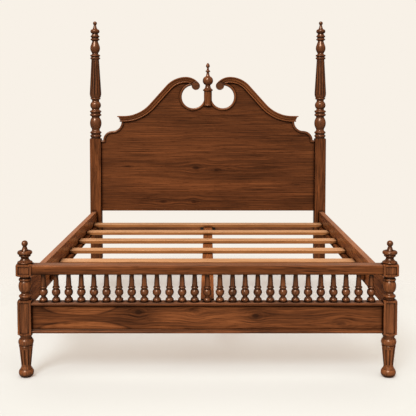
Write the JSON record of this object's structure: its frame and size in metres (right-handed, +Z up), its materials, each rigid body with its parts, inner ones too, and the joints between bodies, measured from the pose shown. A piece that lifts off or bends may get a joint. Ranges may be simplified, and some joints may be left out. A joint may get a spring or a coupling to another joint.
{
  "type": "poster bed",
  "caption": "Dark wooden poster bed frame: turned reeded posts, scrolled headboard with finial, spindle footboard, side rails and slats for a mattress.",
  "frame": {"origin": "on the floor, under the middle of the bed's bounding box", "axes": "+Z up, +Y from the footboard to the headboard, +X to the right as seen from the foot end"},
  "size_m": [1.6392, 2.1871, 1.7283],
  "materials": {
    "walnut": "stained, satin varnish",
    "slat_wood": "bare, planed",
    "frame_wood": "stained, matt",
    "dark_steel": "black, matt",
    "zinc_steel": "zinc plated",
    "pad_plastic": "moulded"
  },
  "bodies": {
    "bed": {"beam_hanger_foot": "dark_steel", "beam_hanger_head": "dark_steel", "centre_beam": "frame_wood", "centre_leg": "frame_wood", "crest_finial": "walnut", "crest_plinth": "walnut", "crown_moulding_left": "walnut", "crown_moulding_right": "walnut", "foot_post_finial_left": "walnut", "foot_post_finial_right": "walnut", "foot_post_left": "walnut", "foot_post_right": "walnut", "footboard_base_moulding": "walnut", "footboard_cap_moulding": "walnut", "footboard_panel": "walnut", "footboard_spindles": "walnut", "footboard_top_rail": "walnut", "hanger_screws": "zinc_steel", "head_post_finial_left": "walnut", "head_post_finial_right": "walnut", "head_post_left": "walnut", "head_post_right": "walnut", "head_post_turning_left": "walnut", "head_post_turning_right": "walnut", "head_rail": "frame_wood", "headboard_panel": "walnut", "ledger_screws": "zinc_steel", "leg_insert": "zinc_steel", "leg_plate": "dark_steel", "leg_plate_screws": "zinc_steel", "post_dowels": "walnut", "post_slot_plates": "dark_steel", "rail_hook_plates": "dark_steel", "rail_plate_screws": "zinc_steel", "scroll_bead_left": "walnut", "scroll_bead_right": "walnut", "scroll_rosette_left": "walnut", "scroll_rosette_right": "walnut", "shoulder_bead_left": "walnut", "shoulder_bead_right": "walnut", "side_rail_left": "walnut", "side_rail_right": "walnut", "slat_1": "slat_wood", "slat_2": "slat_wood", "slat_3": "slat_wood", "slat_4": "slat_wood", "slat_5": "slat_wood", "slat_6": "slat_wood", "slat_ledger_left": "frame_wood", "slat_ledger_right": "frame_wood", "slat_screws": "zinc_steel"},
    "leveller": {"leveller_screw": "zinc_steel", "leveller_pad": "pad_plastic"}
  },
  "joints": [
    {"name": "leveller_slide", "type": "slide", "parent": "bed", "child": "leveller", "axis": [0, 0, 1], "range_m": [-0.01, 0.016]}
  ]
}
